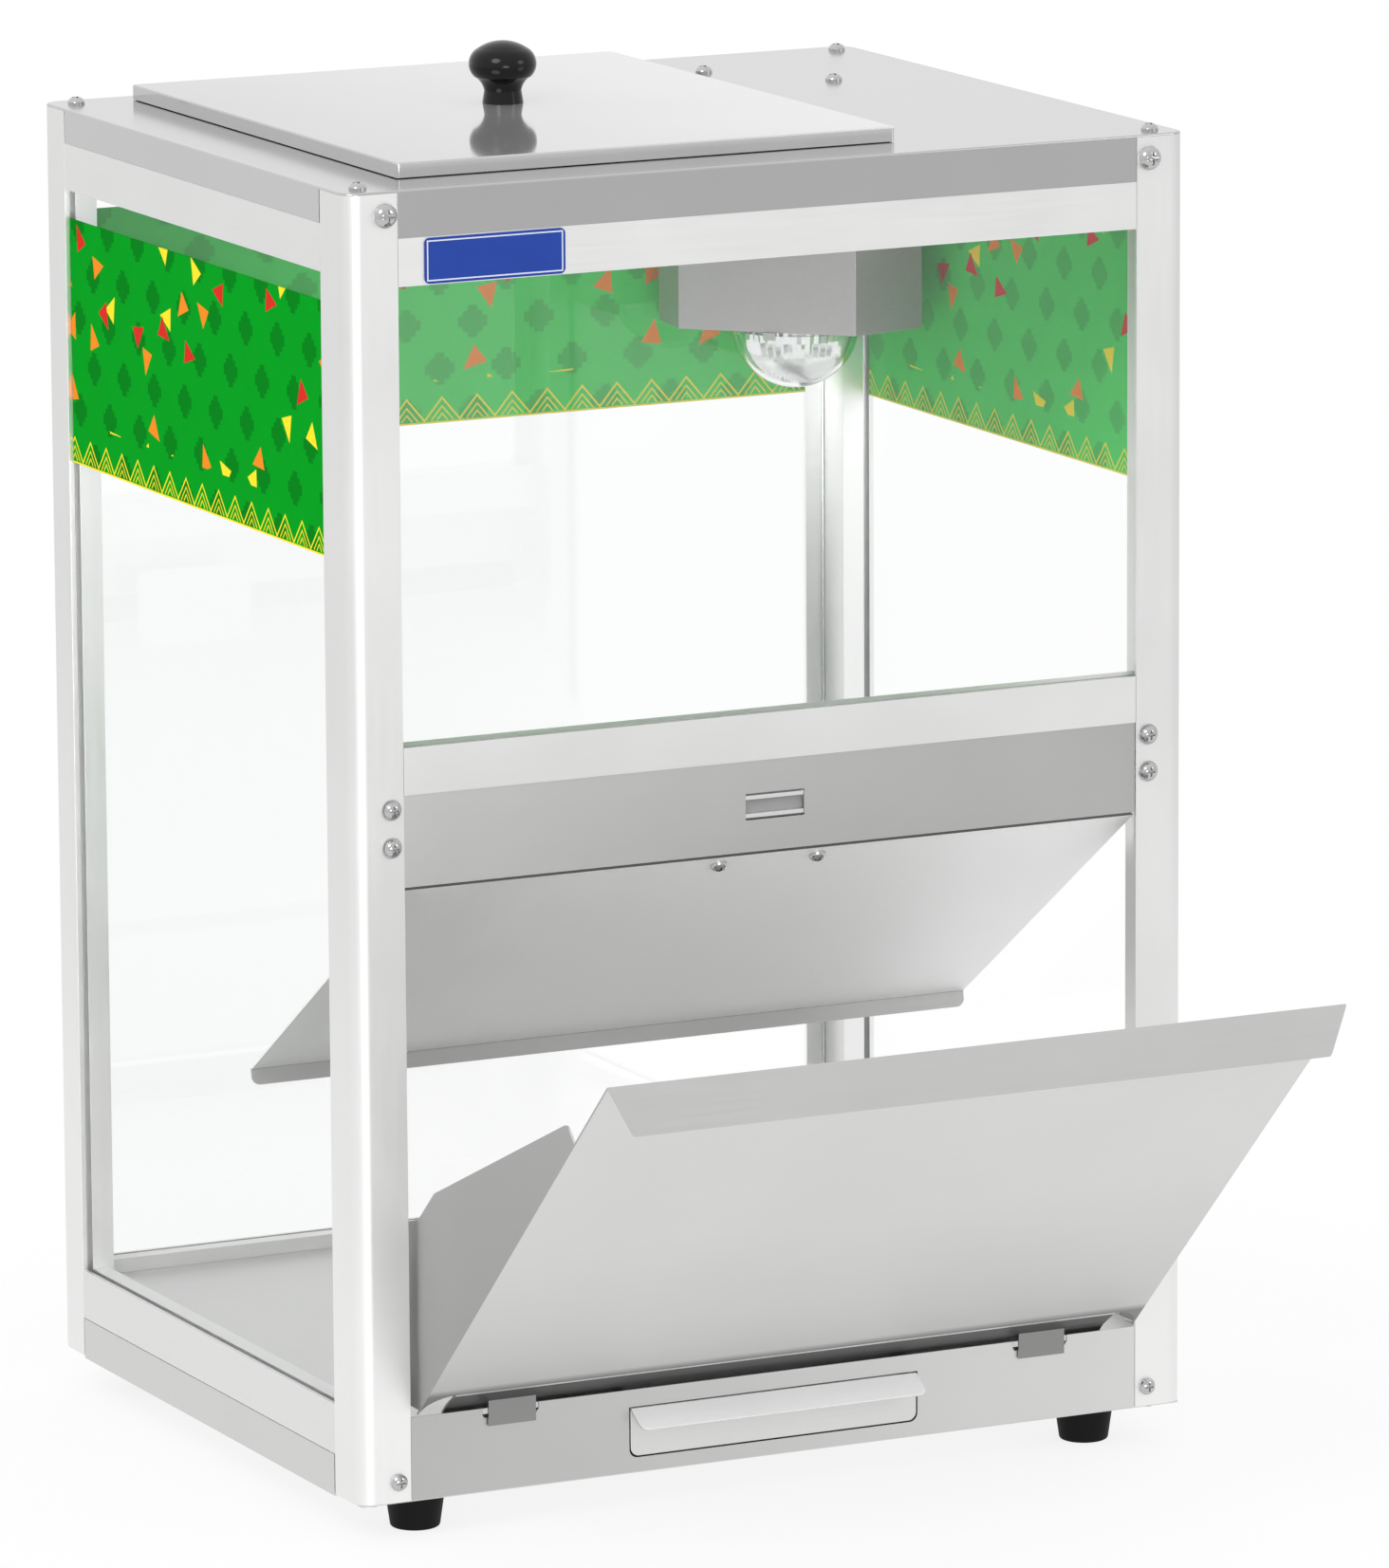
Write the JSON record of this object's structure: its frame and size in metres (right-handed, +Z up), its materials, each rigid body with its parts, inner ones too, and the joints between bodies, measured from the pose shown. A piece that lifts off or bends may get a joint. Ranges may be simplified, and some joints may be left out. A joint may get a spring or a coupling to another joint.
{
  "type": "tortilla chip warmer",
  "caption": "Glazed counter-top chip warmer cabinet with a lift-off filling lid, inner chute, drop-forward serving flap, heat lamp and crumb tray.",
  "frame": {"origin": "bottom centre of the whole part's bounding box, with the flap resting open, on the surface that the feet stand on", "axes": "+X to the cabinet's right seen from its front, +Y to its back, +Z up; the flap and crumb tray open towards -Y"},
  "size_m": [0.41, 0.5434, 0.6335],
  "materials": {
    "aluminium_frame": "satin anodised",
    "satin_steel": "fine satin",
    "polished_steel": "polished",
    "clear_glass": "clear",
    "prismatic_glass": "moulded prisms",
    "bulb_glass": "frosted",
    "green_print": "printed film",
    "blue_badge": "printed label",
    "black_gloss_plastic": "gloss",
    "bright_screws": "bright zinc",
    "catch_plastic": "moulded",
    "pole_steel": "ground",
    "black_rubber": "moulded",
    "heater_metal": "plain",
    "lamp_ceramic": "unglazed",
    "terminal_plastic": "moulded",
    "cutout_plastic": "moulded",
    "switch_plastic": "moulded",
    "rocker_plastic": "moulded"
  },
  "bodies": {
    "cabinet": {"post_front_left": "aluminium_frame", "post_front_right": "aluminium_frame", "post_rear_left": "aluminium_frame", "post_rear_right": "aluminium_frame", "top_rail_front": "aluminium_frame", "top_rail_rear": "aluminium_frame", "top_rail_left": "aluminium_frame", "top_rail_right": "aluminium_frame", "mid_rail": "aluminium_frame", "bottom_rail_left": "aluminium_frame", "bottom_rail_right": "aluminium_frame", "bottom_rail_rear": "aluminium_frame", "mid_panel": "satin_steel", "deflector": "satin_steel", "base_pan": "satin_steel", "base_front_panel": "satin_steel", "floor_panel": "satin_steel", "floor_front_angles": "satin_steel", "lamp_housing": "satin_steel", "tray_guides": "satin_steel", "catch_bracket": "satin_steel", "dome_clips": "satin_steel", "roof_panel": "polished_steel", "glass_front": "clear_glass", "glass_rear": "clear_glass", "glass_left": "clear_glass", "glass_right": "clear_glass", "dome_glass": "prismatic_glass", "lamp_bulb": "bulb_glass", "print_panel_left": "green_print", "print_panel_right": "green_print", "print_panel_rear": "green_print", "badge_plate": "blue_badge", "catch_screws": "bright_screws", "foot_screws": "bright_screws", "m4_nuts": "bright_screws", "top_face_screws": "bright_screws", "mid_face_screws": "bright_screws", "mid_washers": "bright_screws", "base_face_screws": "bright_screws", "corner_screws": "bright_screws", "lamp_screws": "bright_screws", "catch_body": "catch_plastic", "catch_poles": "pole_steel", "foot_front_left": "black_rubber", "foot_front_right": "black_rubber", "foot_rear_left": "black_rubber", "foot_rear_right": "black_rubber", "heater_plate": "heater_metal", "lamp_holder": "lamp_ceramic", "terminal_block": "terminal_plastic", "thermal_cutout": "cutout_plastic", "switch_housing": "switch_plastic", "cable_gland": "switch_plastic"},
    "lid": {"lid": "polished_steel", "knob": "black_gloss_plastic", "knob_screw": "bright_screws"},
    "front_flap": {"front_flap": "satin_steel"},
    "crumb_tray": {"crumb_tray": "satin_steel"},
    "switch_rocker": {"switch_rocker": "rocker_plastic"}
  },
  "joints": [
    {"name": "lid_lift", "type": "slide", "parent": "cabinet", "child": "lid", "axis": [0, 0, 1], "range_m": [0, 0.06]},
    {"name": "flap_hinge", "type": "hinge", "parent": "cabinet", "child": "front_flap", "pos_m": [0, -0.06977, 0.0565], "axis": [-1, 0, 0], "range_deg": [0, 46.5]},
    {"name": "tray_slide", "type": "slide", "parent": "cabinet", "child": "crumb_tray", "axis": [0, -1, 0], "range_m": [0, 0.095]},
    {"name": "switch_rock", "type": "hinge", "parent": "cabinet", "child": "switch_rocker", "pos_m": [-0.11, 0.25973, 0.0275], "axis": [0, 0, -1], "range_deg": [0, 20]}
  ]
}
